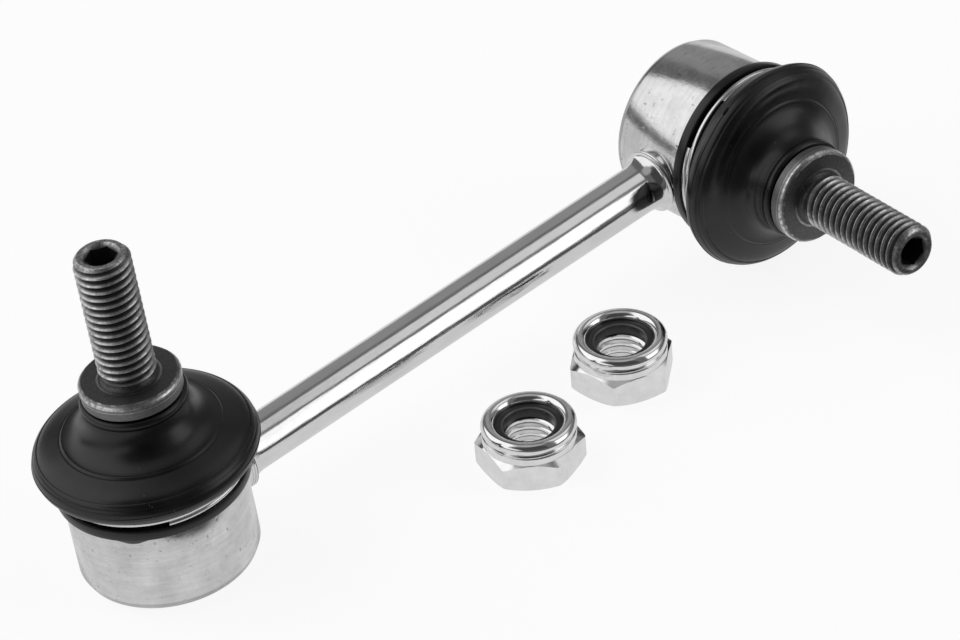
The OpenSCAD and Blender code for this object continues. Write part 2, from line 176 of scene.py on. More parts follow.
# %% Patches, and white for the camera
wall_patches = (  # a box at the left end, a dim right end, a dark strip low at the back left, and the ceiling
    (fade("X", -0.80, -0.90), fade("Z", 0.02, 0.08), 0.75),
    (fade("X", 0.72, 0.84), fade("Z", 0.0, 0.04), 0.14),
    (fade("X", -0.25, -0.35), fade("Z", 0.22, 0.16), 0.1),
    (fade("Z", 0.93, 0.97), fade("X", 0.30, 0.20), 0.28),
)
surround = both_halves
for across, upwards, level in wall_patches:
    inside = calc(room, "MULTIPLY", across, upwards)
    surround = add_node(room, "ShaderNodeMixRGB", {0: inside, 1: surround, 2: (level, level, level, 1)})
studio_light = add_node(room, "ShaderNodeBackground", {0: surround, 1: LIGHT})
white = add_node(room, "ShaderNodeBackground", {0: (1, 1, 1, 1), 1: 1.0})
ray = add_node(room, "ShaderNodeLightPath")
through = calc(room, "MAXIMUM", ray.outputs["Is Camera Ray"], ray.outputs["Is Transmission Ray"])
seen = add_node(room, "ShaderNodeMixShader", {0: through, 1: studio_light, 2: white})
add_node(room, "ShaderNodeOutputWorld", {0: seen})
print("patches in the studio:", len(wall_patches))

# %% [markdown]
# ## Floor
# The link lies on a plain pale table. A white table would need far too much light to come out white, so most of the
# white is given by the table itself and only a part of it is lit. That part carries the soft shadow. Metal sees the
# same table a little less white, and towards the front edge it falls into the dark: that is the thin dark line low on
# the rod.

# %% Floor
bpy.ops.object.select_all(action="DESELECT")
bpy.ops.mesh.primitive_plane_add(size=6, location=(0, 0, -0.00003))
table = bpy.context.object
table.name = "pale_table"
pale = bpy.data.materials.new("pale_table")
pale.use_nodes = True
tree = pale.node_tree
tree.nodes.clear()
spot = add_node(tree, "ShaderNodeTexCoord")
depth = add_node(tree, "ShaderNodeSeparateXYZ", {0: spot.outputs["Object"]}).outputs["Y"]
paper = add_node(tree, "ShaderNodeBsdfDiffuse", {0: (0.86, 0.86, 0.86, 1)})
lit = add_node(tree, "ShaderNodeBsdfDiffuse", {0: (0.9, 0.9, 0.9, 1)})
glow = add_node(tree, "ShaderNodeEmission", {0: (1, 1, 1, 1), 1: 1.0})
shown = add_node(tree, "ShaderNodeMixShader", {0: 0.22, 1: glow, 2: lit})
lift = add_node(tree, "ShaderNodeEmission", {0: (1, 1, 1, 1), 1: 0.1})
bright = add_node(tree, "ShaderNodeAddShader", {0: shown, 1: lift})
dusk = add_node(tree, "ShaderNodeBsdfDiffuse", {0: (0.2, 0.2, 0.2, 1)})
ray = add_node(tree, "ShaderNodeLightPath")
direct = calc(tree, "MAXIMUM", ray.outputs["Is Camera Ray"], ray.outputs["Is Transmission Ray"])
seen = calc(tree, "MAXIMUM", direct, ray.outputs["Is Glossy Ray"])
floor_mix = add_node(tree, "ShaderNodeMixShader", {0: seen, 1: paper, 2: bright})
front_edge = add_node(tree, "ShaderNodeMapRange", {0: depth, 1: -0.040, 2: -0.047, 3: 0.26, 4: 1.0})
mirrored_edge = calc(tree, "MULTIPLY", front_edge, ray.outputs["Is Glossy Ray"])
edge_mix = add_node(tree, "ShaderNodeMixShader", {0: mirrored_edge, 1: floor_mix, 2: dusk})
add_node(tree, "ShaderNodeOutputMaterial", {0: edge_mix})
table.data.materials.append(pale)
table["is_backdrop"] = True
print("floor:", table.name)

# %% [markdown]
# ## Places
# Each end has its own frame about the ball: Z runs along the joint, out through the boot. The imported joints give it:
# the first swing turns about X and the second about Y. The stud's own Z is the axis that it spins about.
# Pieces are modelled in millimetres about their own Z axis, which suits turned parts, and then moved here.

# %% Frames of the ends
joints = {joint["name"]: joint for joint in frame["joints"]}


def place_of(x, y, z, middle):
    turn_part = Matrix((x.normalized(), y.normalized(), z.normalized())).transposed().to_4x4()
    return Matrix.Translation(middle) @ turn_part @ Matrix.Scale(0.001, 4)


def end_place(side):
    x = Vector(joints[side + "_swing_a"]["axis"])
    y = Vector(joints[side + "_swing_b"]["axis"])
    return place_of(x, y, x.cross(y), Vector(joints[side + "_swing_a"]["pos_m"]))


def stud_place(side):
    y = Vector(joints[side + "_swing_b"]["axis"])
    z = Vector(joints[side + "_spin"]["axis"])
    return place_of(y.cross(z), y, z, Vector(joints[side + "_spin"]["pos_m"]))


def rod_place(side):
    """Z runs from the ball along the rod."""
    along = Vector(joints["left_swing_a"]["axis"]) * (1 if side == "left" else -1)
    x = end_place("left").to_3x3() @ Vector((0, 0, 1000))
    return place_of(x, along.cross(x), along, Vector(joints[side + "_swing_a"]["pos_m"]))


BALL_DISTANCE = 1000 * (Vector(joints["right_swing_a"]["pos_m"]) - Vector(joints["left_swing_a"]["pos_m"])).length
print("ball to ball in mm:", round(BALL_DISTANCE, 2))

# %% [markdown]
# ## Turning
# Nearly every piece here comes off a lathe or out of a round mould. In Blender that is an outline spun about an axis.
# One vertex is drawn along the outline by extruding it from point to point, and Spin sweeps it round. The last step
# of the spin lands on the first, so doubles are merged before the normals are set.

# %% Turning helpers
def only(piece):
    if bpy.context.mode != "OBJECT":
        bpy.ops.object.mode_set(mode="OBJECT")
    bpy.ops.object.select_all(action="DESELECT")
    piece.select_set(True)
    bpy.context.view_layer.objects.active = piece


def draw_outline(name, outline):
    """A chain of vertices through (radius, height) points, left in edit mode."""
    bpy.ops.object.select_all(action="DESELECT")
    bpy.ops.mesh.primitive_plane_add(size=1)
    piece = bpy.context.object
    piece.name = name
    bpy.ops.object.mode_set(mode="EDIT")
    bpy.ops.mesh.select_mode(type="VERT")
    bpy.ops.mesh.select_all(action="SELECT")
    bpy.ops.mesh.merge(type="CENTER")
    bpy.ops.transform.translate(value=(outline[0][0], 0, outline[0][1]))
    for (r0, z0), (r1, z1) in zip(outline, outline[1:]):
        bpy.ops.mesh.extrude_vertices_move(TRANSFORM_OT_translate={"value": (r1 - r0, 0, z1 - z0)})
    bpy.ops.mesh.select_all(action="SELECT")
    return piece


def turn(name, outline, steps=144):
    piece = draw_outline(name, outline)
    bpy.ops.mesh.spin(steps=steps, angle=2 * math.pi, center=(0, 0, 0), axis=(0, 0, 1))
    bpy.ops.mesh.select_all(action="SELECT")
    bpy.ops.mesh.remove_doubles(threshold=0.0005)
    bpy.ops.mesh.normals_make_consistent(inside=False)
    bpy.ops.object.mode_set(mode="OBJECT")
    return piece


def arc(middle, radius, start, stop, count):
    """Points on a round, at angles in degrees from straight outwards."""
    angles = [math.radians(start + (stop - start) * i / count) for i in range(count + 1)]
    return [(middle[0] + radius * math.cos(a), middle[1] + radius * math.sin(a)) for a in angles]


def soften(piece, width, segments=2, angle=35):
    """Rounds the edges that are sharper than the angle."""
    only(piece)
    bevel = piece.modifiers.new("edges", "BEVEL")
    bevel.width = width
    bevel.segments = segments
    bevel.limit_method = "ANGLE"
    bevel.angle_limit = math.radians(angle)
    bpy.ops.object.modifier_apply(modifier=bevel.name)


def settle(piece, place, finish, smooth=32):
    """Keeps the piece's own millimetres as an attribute, moves it to its place and gives it its finish."""
    only(piece)
    own = piece.data.attributes.new("own_mm", "FLOAT_VECTOR", "POINT")
    own.data.foreach_set("vector", [c for v in piece.data.vertices for c in v.co])
    piece.matrix_world = place
    bpy.ops.object.transform_apply(location=True, rotation=True, scale=True)
    bpy.ops.object.shade_smooth_by_angle(angle=math.radians(smooth))
    piece.data.materials.clear()
    piece.data.materials.append(finish)
    return piece


def combine(piece, other, operation):
    """Joins, cuts or trims the piece with another one, which is used up."""
    only(piece)
    step = piece.modifiers.new("combine", "BOOLEAN")
    step.operation = operation
    step.object = other
    step.solver = "EXACT"
    bpy.ops.object.modifier_apply(modifier=step.name)
    bpy.data.objects.remove(other)


print("outline points for a quarter round:", len(arc((0, 0), 1, 0, 90, 6)))

# %% [markdown]
# ## Finishes
# A finish is a small tree of nodes. Each piece carries its own millimetres in the attribute own_mm, so a pattern
# such as a scratch along the rod or wear on a thread stays on the piece wherever it goes.

# %% Start of a finish
def start_finish(name):
    made = bpy.data.materials.new(name)
    made.use_nodes = True
    tree = made.node_tree
    place = add_node(tree, "ShaderNodeAttribute", attribute_name="own_mm")
    return made, tree, tree.nodes["Principled BSDF"], place.outputs["Vector"]


def stretched_noise(tree, place, scale, size=1.0, detail=4.0, rough=0.55):
    spread = add_node(tree, "ShaderNodeMapping", {0: place, 3: scale})
    return add_node(tree, "ShaderNodeTexNoise", {"Vector": spread, "Scale": size, "Detail": detail, "Roughness": rough})


def between(tree, value, low, high, to_low, to_high):
    return add_node(tree, "ShaderNodeMapRange", {0: value, 1: low, 2: high, 3: to_low, 4: to_high})


def own_radius(tree, place):
    parts = add_node(tree, "ShaderNodeSeparateXYZ", {0: place})
    flat = add_node(tree, "ShaderNodeCombineXYZ", {0: parts.outputs["X"], 1: parts.outputs["Y"]})
    return add_node(tree, "ShaderNodeVectorMath", {0: flat}, operation="LENGTH").outputs["Value"], parts.outputs["Z"]


def grey(tree, factor, dark, light):
    return add_ramp(tree, factor, [(0, dark), (1, light)])


def give(tree, shader, **sockets):
    for key, value in sockets.items():
        name = key.replace("_", " ").title()
        if isinstance(value, bpy.types.Node):
            tree.links.new(value.outputs[0], shader.inputs[name])
        else:
            shader.inputs[name].default_value = value


def bumped(tree, height, strength, distance):
    return add_node(tree, "ShaderNodeBump", {"Height": height, "Strength": strength, "Distance": distance})


print("finish helpers:", start_finish.__name__, give.__name__, bumped.__name__)

# %% [markdown]
# ### Bright zinc on the rod
# The rod is drawn bar with bright zinc on it. It is almost a mirror, with faint lines along its length from drawing
# and a few dull patches. The lines are noise stretched along Z, in the roughness and in a very low bump.

# %% Bright zinc
bright_zinc, tree, shader, place = start_finish("bright_zinc")
lines = stretched_noise(tree, place, (2.6, 2.6, 0.09), 1.0, 5.0, 0.65)
dull_areas = stretched_noise(tree, place, (0.35, 0.35, 0.12), 1.0, 3.0)
give(
    tree, shader, metallic=1.0,
    base_color=grey(tree, between(tree, dull_areas, 0.3, 0.7, 0, 1), 0.72, 0.80),
    roughness=between(tree, lines, 0.3, 0.75, 0.05, 0.12),
    normal=bumped(tree, lines, 0.2, 0.00008),
)
print("made", bright_zinc.name)

# %% [markdown]
# ### Satin zinc on the housings
# The cups are turned and then plated over a duller skin. They look cloudy, with small pits and short scratches.
# Cloudiness is roughness that changes slowly. The pits come from the cells of a Voronoi texture, kept only near the
# middle of some cells. The rolled lower edge is painted darker than the wall: painted shade, standing in for the
# shadowed table under the cup that it reflects.

# %% Satin zinc
satin_zinc, tree, shader, place = start_finish("satin_zinc")
clouds = stretched_noise(tree, place, (0.22, 0.22, 0.16), 1.0, 5.0, 0.6)
grain = stretched_noise(tree, place, (1.5, 1.5, 0.7), 1.0, 5.0, 0.6)
streaks = stretched_noise(tree, place, (0.12, 0.12, 1.3), 1.0, 4.0, 0.6)
scuffs = between(tree, stretched_noise(tree, place, (0.8, 0.8, 1.5), 1.0, 6.0, 0.7), 0.61, 0.70, 0, 1)
# painted shade: the colour is darkened on the rolled lower edge, for the shadowed table under the cup that it reflects
painted_shade_on_rolled_edge = between(tree, own_radius(tree, place)[1], -8.45, -8.75, 0, 0.5)
stretched = add_node(tree, "ShaderNodeMapping", {0: place, 3: (1, 1, 0.55)})
cells = add_node(tree, "ShaderNodeTexVoronoi", {"Vector": stretched, "Scale": 0.42, "Randomness": 1.0})
pits = between(tree, cells, 0.05, 0.12, 1, 0)
marks = calc(tree, "MAXIMUM", pits, scuffs)
sheen = calc(tree, "ADD", between(tree, clouds, 0.3, 0.7, 0.35, 0.8), between(tree, streaks, 0.35, 0.7, 0, 0.2))
# pits and scuffs are real wear; the rolled-edge part added here is painted shade
marks_and_painted_shade = calc(tree, "ADD", calc(tree, "MULTIPLY", marks, 0.6), painted_shade_on_rolled_edge)
give(
    tree, shader, metallic=1.0,
    base_color=grey(tree, calc(tree, "SUBTRACT", sheen, marks_and_painted_shade), 0.38, 0.84),
    roughness=between(tree, clouds, 0.3, 0.7, 0.12, 0.22),
    normal=bumped(tree, calc(tree, "SUBTRACT", grain, marks), 0.22, 0.00007),
)
print("made", satin_zinc.name)

# %% [markdown]
# ### Dark steel on the studs
# The studs are phosphated: a dark grey skin that takes oil. It wears off on the crests of the thread, on the end and
# on the edges of the collar, where steel shows. Radius and height in the piece's own millimetres say where that is.

# %% Dark steel
dark_steel, tree, shader, place = start_finish("dark_steel")
radius, height = own_radius(tree, place)
speckle = stretched_noise(tree, place, (1, 1, 1), 2.6, 4.0, 0.65)
chips = stretched_noise(tree, place, (1, 1, 1), 0.9, 5.0, 0.7)
on_thread = between(tree, height, 29.9, 30.2, 0, 1)
crest = calc(tree, "MULTIPLY", between(tree, radius, 4.45, 4.92, 0, 0.85), on_thread)
rough_end = between(tree, speckle, 0.36, 0.62, 0.45, 1.1)
end_face = calc(tree, "MULTIPLY", between(tree, height, 52.9, 53.5, 0, 0.75), between(tree, radius, 2.8, 3.1, 0, 1))
nose = calc(tree, "MULTIPLY", end_face, rough_end)
relief = calc(tree, "MULTIPLY", between(tree, radius, 5.3, 5.0, 0, 0.07), between(tree, height, 29.9, 29.7, 0, 1))


def edge_line(edge_radius, edge_height, width):
    """One on a round edge and falling to nothing around it."""
    aside = calc(tree, "SUBTRACT", radius, edge_radius)
    above = calc(tree, "SUBTRACT", height, edge_height)
    apart = add_node(tree, "ShaderNodeCombineXYZ", {0: aside, 1: above})
    away = add_node(tree, "ShaderNodeVectorMath", {0: apart}, operation="LENGTH")
    return between(tree, away.outputs["Value"], 0.3 * width, width, 1, 0)


upper_edge = calc(tree, "MULTIPLY", edge_line(8.86, 28.02, 0.5), between(tree, chips, 0.40, 0.60, 0.12, 1))
step_edge = calc(tree, "MULTIPLY", edge_line(8.9, 27.06, 0.2), between(tree, chips, 0.38, 0.66, 0.2, 0.6))
face_edge = calc(tree, "MULTIPLY", edge_line(8.36, 28.56, 0.22), between(tree, chips, 0.45, 0.65, 0, 0.5))
root_ring = calc(tree, "MULTIPLY", edge_line(5.5, 28.6, 0.25), between(tree, chips, 0.3, 0.6, 0.15, 0.5))
outer_edges = calc(tree, "MAXIMUM", upper_edge, step_edge)
edges = calc(tree, "MAXIMUM", outer_edges, calc(tree, "MAXIMUM", face_edge, root_ring))
worn = calc(tree, "MULTIPLY", calc(tree, "MAXIMUM", crest, nose), between(tree, chips, 0.34, 0.6, 0.35, 1))
wear = calc(tree, "MAXIMUM", worn, edges)
on_collar = between(tree, height, 25.3, 25.5, 0, 1)
collar_wall = calc(tree, "MULTIPLY", between(tree, radius, 8.3, 8.6, 0, 0.15), on_collar)
skin = calc(tree, "ADD", between(tree, speckle, 0.3, 0.7, 0.07, 0.16), calc(tree, "SUBTRACT", collar_wall, relief))
give(
    tree, shader, metallic=1.0,
    base_color=grey(tree, calc(tree, "ADD", skin, wear), 0.05, 0.72),
    roughness=between(tree, wear, 0, 1, 0.44, 0.26),
    normal=bumped(tree, speckle, 0.5, 0.00007),
)
print("made", dark_steel.name)

# %% [markdown]
# ### Black rubber
# The boots are moulded rubber: black, with a soft sheen, a very fine grain and a little dust.

# %% Black rubber
black_rubber, tree, shader, place = start_finish("black_rubber")
grain = stretched_noise(tree, place, (1, 1, 1), 3.5, 4.0, 0.6)
smear = stretched_noise(tree, place, (1, 1, 1), 0.16, 4.0, 0.6)
specks = add_node(tree, "ShaderNodeTexVoronoi", {"Vector": place, "Scale": 0.4, "Randomness": 1.0})
dust = calc(tree, "MULTIPLY", between(tree, specks, 0.03, 0.06, 1, 0), 0.4)
give(
    tree, shader,
    base_color=grey(tree, calc(tree, "ADD", between(tree, smear, 0.35, 0.7, 0, 0.02), dust), 0.003, 0.26),
    roughness=between(tree, smear, 0.3, 0.7, 0.26, 0.38),
    normal=bumped(tree, grain, 0.1, 0.00004),
)
shader.inputs["Specular IOR Level"].default_value = 0.5
print("made", black_rubber.name)

# %% [markdown]
# ### Wire, nut and nylon
# The wire is bright spring steel. The nuts have the same zinc as the rod, without its lines. The lock rings are black
# nylon, smoother than the rubber. Seats, neck rings and caps sit inside or below and get plain versions.

# %% Wire, nut, nylon and the hidden finishes
spring_wire, tree, shader, place = start_finish("spring_wire")
lines = stretched_noise(tree, place, (0.5, 0.5, 6), 1.0, 3.0)
give(
    tree, shader, metallic=1.0,
    base_color=grey(tree, lines, 0.62, 0.86),
    roughness=between(tree, lines, 0.3, 0.7, 0.14, 0.26),
)

nut_zinc, tree, shader, place = start_finish("nut_zinc")
clouds = stretched_noise(tree, place, (0.45, 0.45, 0.45), 1.0, 4.0, 0.6)
grain = stretched_noise(tree, place, (4, 4, 4), 1.0, 2.0)
give(
    tree, shader, metallic=1.0,
    base_color=grey(tree, between(tree, clouds, 0.3, 0.7, 0, 1), 0.80, 0.92),
    roughness=between(tree, clouds, 0.3, 0.7, 0.07, 0.15),
    normal=bumped(tree, grain, 0.08, 0.00004),
)

black_nylon, tree, shader, place = start_finish("black_nylon")
grain = stretched_noise(tree, place, (1, 1, 1), 2.5, 3.0)
radius, height = own_radius(tree, place)
rubbed = calc(tree, "MULTIPLY", between(tree, radius, 4.9, 4.8, 0, 1), between(tree, height, 7.95, 8.1, 0, 1))
give(
    tree, shader,
    base_color=grey(tree, calc(tree, "MAXIMUM", calc(tree, "MULTIPLY", grain, 0.2), rubbed), 0.008, 0.14),
    roughness=between(tree, grain, 0.3, 0.7, 0.28, 0.4),
    normal=bumped(tree, grain, 0.15, 0.00004),
)


def plain_finish(name, dark, light, metallic, rough, scale):
    made = bpy.data.materials.new(name)
    made.use_nodes = True
    tree = made.node_tree
    spot = add_node(tree, "ShaderNodeTexCoord")
    noise = add_node(tree, "ShaderNodeTexNoise", {"Vector": spot.outputs["Object"], "Scale": scale, "Detail": 4.0})
    give(
        tree, tree.nodes["Principled BSDF"], metallic=metallic,
        base_color=grey(tree, noise, dark, light),
        roughness=between(tree, noise, 0.3, 0.7, rough, rough + 0.12),
    )
    return made


for names, finish in (
    (("left_ball_seat", "right_ball_seat"), plain_finish("natural_acetal", 0.74, 0.86, 0.0, 0.4, 900)),
    (("left_neck_ring", "right_neck_ring"), plain_finish("steel_band", 0.40, 0.52, 1.0, 0.3, 700)),
    (("left_end_cap", "right_end_cap"), plain_finish("cap_zinc", 0.58, 0.74, 1.0, 0.22, 450)),
):
    for name in names:
        node = frame["nodes"][name]
        node.data.materials.clear()
        node.data.materials.append(finish)
print("finishes:", len(bpy.data.materials))

# %% [markdown]
# ## Rod
# The rod is a straight bar that ends in the walls of both housings. It is turned from four points.

# %% Rod
ROD_R = 4.6
ROD_START = 14.5
ROD_STOP = BALL_DISTANCE - ROD_START
rod = turn("plated_rod", [(0, ROD_START), (ROD_R, ROD_START), (ROD_R, ROD_STOP), (0, ROD_STOP)], 192)
settle(rod, rod_place("left"), bright_zinc)
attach(rod, "link")
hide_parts("link_rod")
print("rod length in mm:", round(ROD_STOP - ROD_START, 1))

# %% [markdown]
# ## Welds
# Each end of the rod is friction welded. The metal flows out into a ring against the housing, with two fine ridges,
# and runs back to the rod in a hollow sweep.

# %% Welds
WELD_R = 6.0
WELD_END = 20.7
WELD_LENGTH = 3.6
quarter = arc((WELD_R, WELD_END), 1.0, 180, 270, 10)
hollow = [
    (ROD_R - 0.02 + (WELD_R - ROD_R) * (r - WELD_R + 1), WELD_END + (z - WELD_END) * WELD_LENGTH) for r, z in quarter
]
ridges = arc((WELD_R - 0.3, 16.8), 0.3, 80, -62, 6) + arc((WELD_R - 0.34, 16.25), 0.3, 62, -62, 6)
weld_foot = [(WELD_R - 0.2, 15.2), (WELD_R - 0.2, 14.3), (ROD_R - 0.3, 14.3)]
weld_start = [(ROD_R - 0.3, WELD_END + 0.1)]
weld_outline = weld_start + hollow + ridges + weld_foot + weld_start
for side in ("left", "right"):
    weld = turn(side + "_weld_ring", weld_outline)
    settle(weld, rod_place(side), bright_zinc, 40)
    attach(weld, "link")
    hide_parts(side + "_weld")
    print(weld.name, len(weld.data.polygons), "faces")

# %% [markdown]
# ## Housings
# A housing is a short thick ring. Its lower edge is chamfered and rolled over the cap, its upper half carries the
# groove that holds the boot, and a cone inside lets the stud swing. A small bevel breaks the edges.

# %% Housings
housing_outline = [
    (11.3, -9.5), (11.45, -9.8), (11.8, -9.9), (15.3, -9.9), (15.9, -8.6),  # rolled edge and wall
    (15.9, 6), (13.4, 6), (13.4, 9.3), (14.2, 9.3), (14.2, 10.3),  # shoulder and groove
    (11.46, 10.3), (8.25, 3.49), (11.3, 3.49), (11.3, -8.2),  # throat and bore
    (12.5, -8.2), (12.5, -8.6), (12.1, -9.0), (11.3, -9.0), (11.3, -9.5),  # recess for the cap
]
for side in ("left", "right"):
    housing = turn(side + "_housing_ring", housing_outline, 192)
    soften(housing, 0.1)
    settle(housing, end_place(side), satin_zinc)
    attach(housing, "link")
    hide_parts(side + "_housing")
    print(housing.name, len(housing.data.polygons), "faces")

# %% [markdown]
# ## Studs
# Ball, neck, collar and shank are one turned piece. The thread is a helix, which no spin can give, so a Screw
# modifier sweeps one tooth upwards. Bisect trims it flat, and a turned envelope gives it its chamfers. Booleans then
# join it to the shank and cut the hexagon socket.

# %% Thread helper
PITCH = 1.5


def thread(name, crest, root, low, high, steps=72):
    rise = [(crest - 0.28, 0.575), (crest - 0.08, 0.68), (crest, 0.79)]
    fall = [(crest, 0.87), (crest - 0.08, 0.98), (crest - 0.28, 1.085)]
    tooth = [(root, 0), (root, 0.2)] + rise + fall + [(root, 1.46), (root, PITCH)]
    piece = draw_outline(name, tooth)
    bpy.ops.object.mode_set(mode="OBJECT")
    screw = piece.modifiers.new("helix", "SCREW")
    screw.steps = screw.render_steps = steps
    screw.screw_offset = PITCH
    screw.iterations = math.ceil((high - low) / PITCH) + 3
    screw.use_merge_vertices = True
    screw.merge_threshold = 0.001
    only(piece)
    bpy.ops.object.modifier_apply(modifier=screw.name)
    bpy.ops.object.mode_set(mode="EDIT")
    bpy.ops.mesh.select_all(action="SELECT")
    bpy.ops.mesh.remove_doubles(threshold=0.001)
    bpy.ops.transform.translate(value=(0, 0, low - PITCH))
    for height, outer in ((low, False), (high, True)):
        bpy.ops.mesh.select_all(action="SELECT")
        bpy.ops.mesh.bisect(
            plane_co=(0, 0, height), plane_no=(0, 0, 1), use_fill=True, clear_inner=not outer, clear_outer=outer,
        )
    bpy.ops.mesh.select_all(action="SELECT")
    bpy.ops.mesh.normals_make_consistent(inside=False)
    bpy.ops.object.mode_set(mode="OBJECT")
    return piece


print("pitch of the thread in mm:", PITCH)

# %% Stud outlines
BALL_R = 8
STUD_TOP = 54.0
THREAD_LOW = 29.5
THREAD_CREST = 5.0
THREAD_ROOT = 4.04
KEY_FLATS = 5.0
neck = [(4.8, 15.4), (6.6, 19.0), (6.6, 25.4)]
collar = [
    (8.6, 25.4), (8.78, 25.58), (8.78, 26.9), (8.9, 27.06), (8.9, 27.98), (8.86, 28.06),
    (8.4, 28.53), (8.3, 28.58), (8.2, 28.6),
]
fillet = arc((5.4, 29.7), 1.1, 270, 180, 8)
core_end = [(4.28, 29.95), (4.1, 30.9), (0, 30.9)]
stud_outline = [(0, -7)] + arc((0, 0), BALL_R, -61.04, 53.13, 28) + neck + collar + fillet + core_end
envelope = [
    (0, 29.6), (4.25, 29.6), (4.8, 29.8), (5.1, 30.0),
    (5.1, 52.7), (4.75, 53.15), (4.35, 53.7), (4.15, 53.92), (3.95, STUD_TOP), (0, STUD_TOP),
]
countersink = [(0, 53.35), (2.7, 53.35), (3.35, STUD_TOP), (3.8, STUD_TOP + 0.45), (0, STUD_TOP + 0.45)]
print("turns of the thread:", round((STUD_TOP - THREAD_LOW) / PITCH, 1))

# %% Studs
for side in ("left", "right"):
    stud = turn(side + "_stud_dressed", stud_outline)
    shank = thread(side + "_thread", THREAD_CREST, THREAD_ROOT, THREAD_LOW, STUD_TOP + 0.3)
    combine(shank, turn("envelope", envelope, 72), "INTERSECT")
    combine(stud, shank, "UNION")
    bpy.ops.object.select_all(action="DESELECT")
    key_corner = KEY_FLATS / 2 / math.cos(math.pi / 6)
    bpy.ops.mesh.primitive_cylinder_add(vertices=6, radius=key_corner, depth=8, location=(0, 0, 53))
    combine(stud, bpy.context.object, "DIFFERENCE")
    combine(stud, turn("countersink", countersink, 72), "DIFFERENCE")
    settle(stud, stud_place(side), dark_steel, 28)
    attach(stud, side + "_stud")
    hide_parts(side + "_ball_stud")
    print(stud.name, len(stud.data.polygons), "faces")

# %% [markdown]
# ## Boots
# A boot is clamped to the housing at its flange and follows the stud at its lip, which ends in a small bead. It bends
# in between, in two directions, and each direction is one joint. It is made of two rings that meet at the crease above
# the rim.
# The right boot leans with its stud, so it is bent in small steps, each of which turns everything above one height.
# The upper side of its rim is pulled out a little. Proportional editing does that as a thumb would.

# %% Boot outlines
RIM = (17.35, 13.2)
RIM_R = 2.3
RIM_TALL = 1.18
rim_top = [(r, RIM[1] + RIM_TALL * (z - RIM[1])) for r, z in arc(RIM, RIM_R, 3, 60, 14)]
CREASE = rim_top[-1][1]
LIP = 19.5
mould_fin = [(19.76, 13.17), (19.76, 13.23)]
fine_line = [(rim_top[7][0] - 0.07, rim_top[7][1] - 0.05), (rim_top[8][0] - 0.06, rim_top[8][1] - 0.06)]
rim_round = arc(RIM, RIM_R, -118, -3, 24) + mould_fin + rim_top[:7] + fine_line + rim_top[9:]
FLANGE_LOW = 6.3
flange = [
    (13.7, FLANGE_LOW), (15.98, FLANGE_LOW), (16.75, FLANGE_LOW), (16.98, 6.4), (17.05, 6.62),
    (17.05, 7.85), (16.96, 8.1), (16.75, 8.2), (15.4, 8.2), (15.4, 11.0), (15.9, 11.12),
]
rim_inside = [(15.07, CREASE), (17.0, 13.3), (14.5, 11.0), (14.5, 9.0), (13.7, 9.0), (13.7, FLANGE_LOW)]
lower_outline = flange + rim_round + rim_inside
shelf = [
    (18.5, CREASE), (18.40, CREASE - 0.02), (18.30, CREASE + 0.04), (18.2, CREASE + 0.16),
    (17.4, 16.18), (16.4, 16.6), (15.3, 16.97), (14.5, 17.24), (14.24, 17.33),
    (14.12, 17.32), (14.0, 17.42), (13.88, 17.58), (13.75, 17.65),
]
FLARE = (14.883, 23.4)
lip_bead = [
    (8.98, 23.4), (9.08, 23.52), (9.27, 23.66), (9.36, 23.95), (9.36, 24.5), (9.27, 24.85), (9.05, 25.05), (8.6, 25.1),
]
lip_inside = [(6.9, 25.1), (6.9, 24.5), (7.95, 24.5), (7.95, 20.3), (6.9, 20.3), (6.9, 19.7), (8.3, 19.7)]
upper_outline = (
    shelf + arc(FLARE, 5.883, -102, -178, 26) + lip_bead + lip_inside
    + arc(FLARE, 7.48, -149, -99.6, 12) + [(15.07, CREASE), (18.5, CREASE)]
)
print("outline points:", len(lower_outline), len(upper_outline))

# %% Places on the boots
TAB_ANGLE = 218.5
VENT_ANGLES = (117, 5)
VENT_RISE = 0.3
BEND_LOW = 11.2
LEAN_TOP = 22.0
RIM_PULL = 1.3
RIM_PRESS = 0.5
right_axis = end_place("right").to_3x3() @ Vector((0, 0, 1000))
LEAN = math.acos(max(-1, min(1, Vector(joints["right_spin"]["axis"]).dot(right_axis))))
print("lean of the right stud in degrees:", round(math.degrees(LEAN), 2))

# %% Boot helpers
def lean_over(piece, angle, low, high, steps=12):
    """Bends the piece about Y, a little more at each height."""
    only(piece)
    heights = [v.co.z for v in piece.data.vertices]
    for i in range(steps):
        level = low + (high - low) * i / steps
        bpy.ops.object.mode_set(mode="EDIT")
        bpy.ops.mesh.select_mode(type="VERT")
        bpy.ops.mesh.select_all(action="DESELECT")
        bpy.ops.object.mode_set(mode="OBJECT")
        for vertex, z in zip(piece.data.vertices, heights):
            vertex.select = z > level
        bpy.ops.object.mode_set(mode="EDIT")
        bpy.ops.transform.rotate(value=angle / steps, orient_axis="Y", center_override=(0, 0, 0))
        bpy.ops.object.mode_set(mode="OBJECT")


def pull_faces(piece, wanted, move, taper=1.0):
    """Extrudes the faces whose middles are wanted, and narrows what was pulled out."""
    only(piece)
    bpy.ops.object.mode_set(mode="EDIT")
    bpy.ops.mesh.select_mode(type="FACE")
    bpy.ops.mesh.select_all(action="DESELECT")
    bpy.ops.object.mode_set(mode="OBJECT")
    middles = []
    for face in piece.data.polygons:
        face.select = wanted(face.center)
        if face.select:
            middles.append(face.center.copy())
    middle = sum(middles, Vector()) / len(middles)
    bpy.ops.object.mode_set(mode="EDIT")
    bpy.ops.mesh.extrude_region_move(TRANSFORM_OT_translate={"value": move})
    bpy.ops.transform.resize(value=(taper, taper, 1), center_override=middle)
    bpy.ops.object.mode_set(mode="OBJECT")


def near_angle(point, angle, reach):
    aside = math.degrees(math.atan2(point.y, point.x)) - angle
    return abs((aside + 180) % 360 - 180) < reach


